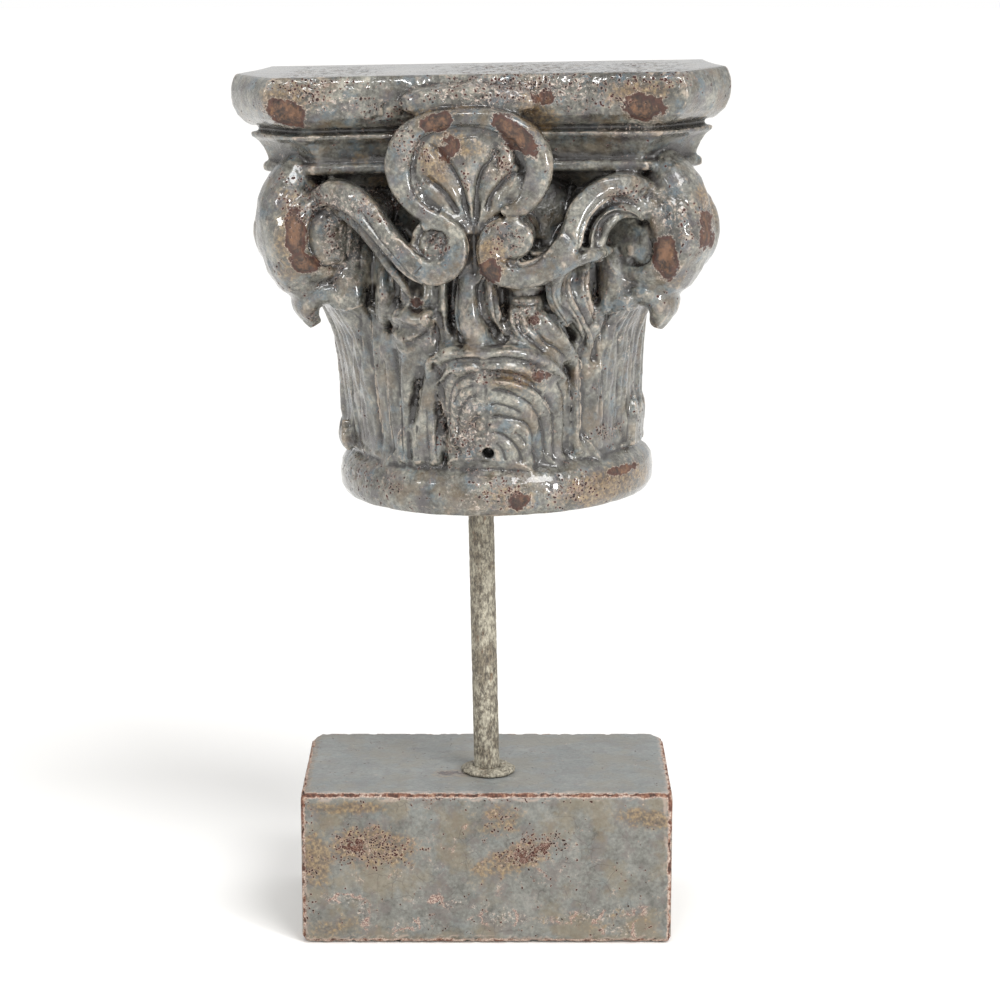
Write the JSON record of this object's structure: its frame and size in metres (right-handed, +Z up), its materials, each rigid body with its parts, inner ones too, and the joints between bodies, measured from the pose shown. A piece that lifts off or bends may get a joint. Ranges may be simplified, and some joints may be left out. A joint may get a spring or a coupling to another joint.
{
  "type": "corinthian capital",
  "caption": "Half capital of the Corinthian order, moulded in terracotta with a worn crackle glaze, held up on an iron rod over a glazed block.",
  "frame": {"origin": "middle of the block's flat underside, on the surface that the piece stands on", "axes": "+Z up, -Y towards the carved front, +X to the viewer's right; the block is square to the axes, and the rod and capital lean 1.2 degrees towards -X"},
  "size_m": [0.2503, 0.1346, 0.4529],
  "materials": {
    "crackle_glaze": "glossy grey-green crackle glaze, worn to brown clay on the high places",
    "matt_glaze": "satin grey-green glaze with pinkish chipped arrises",
    "limed_iron": "worn whitewash over dark iron",
    "limed_collar": "rough whitewashed crust"
  },
  "bodies": {
    "root": {"capital": "crackle_glaze", "rod": "limed_iron", "rod_flange": "limed_collar", "block": "matt_glaze"}
  },
  "joints": []
}
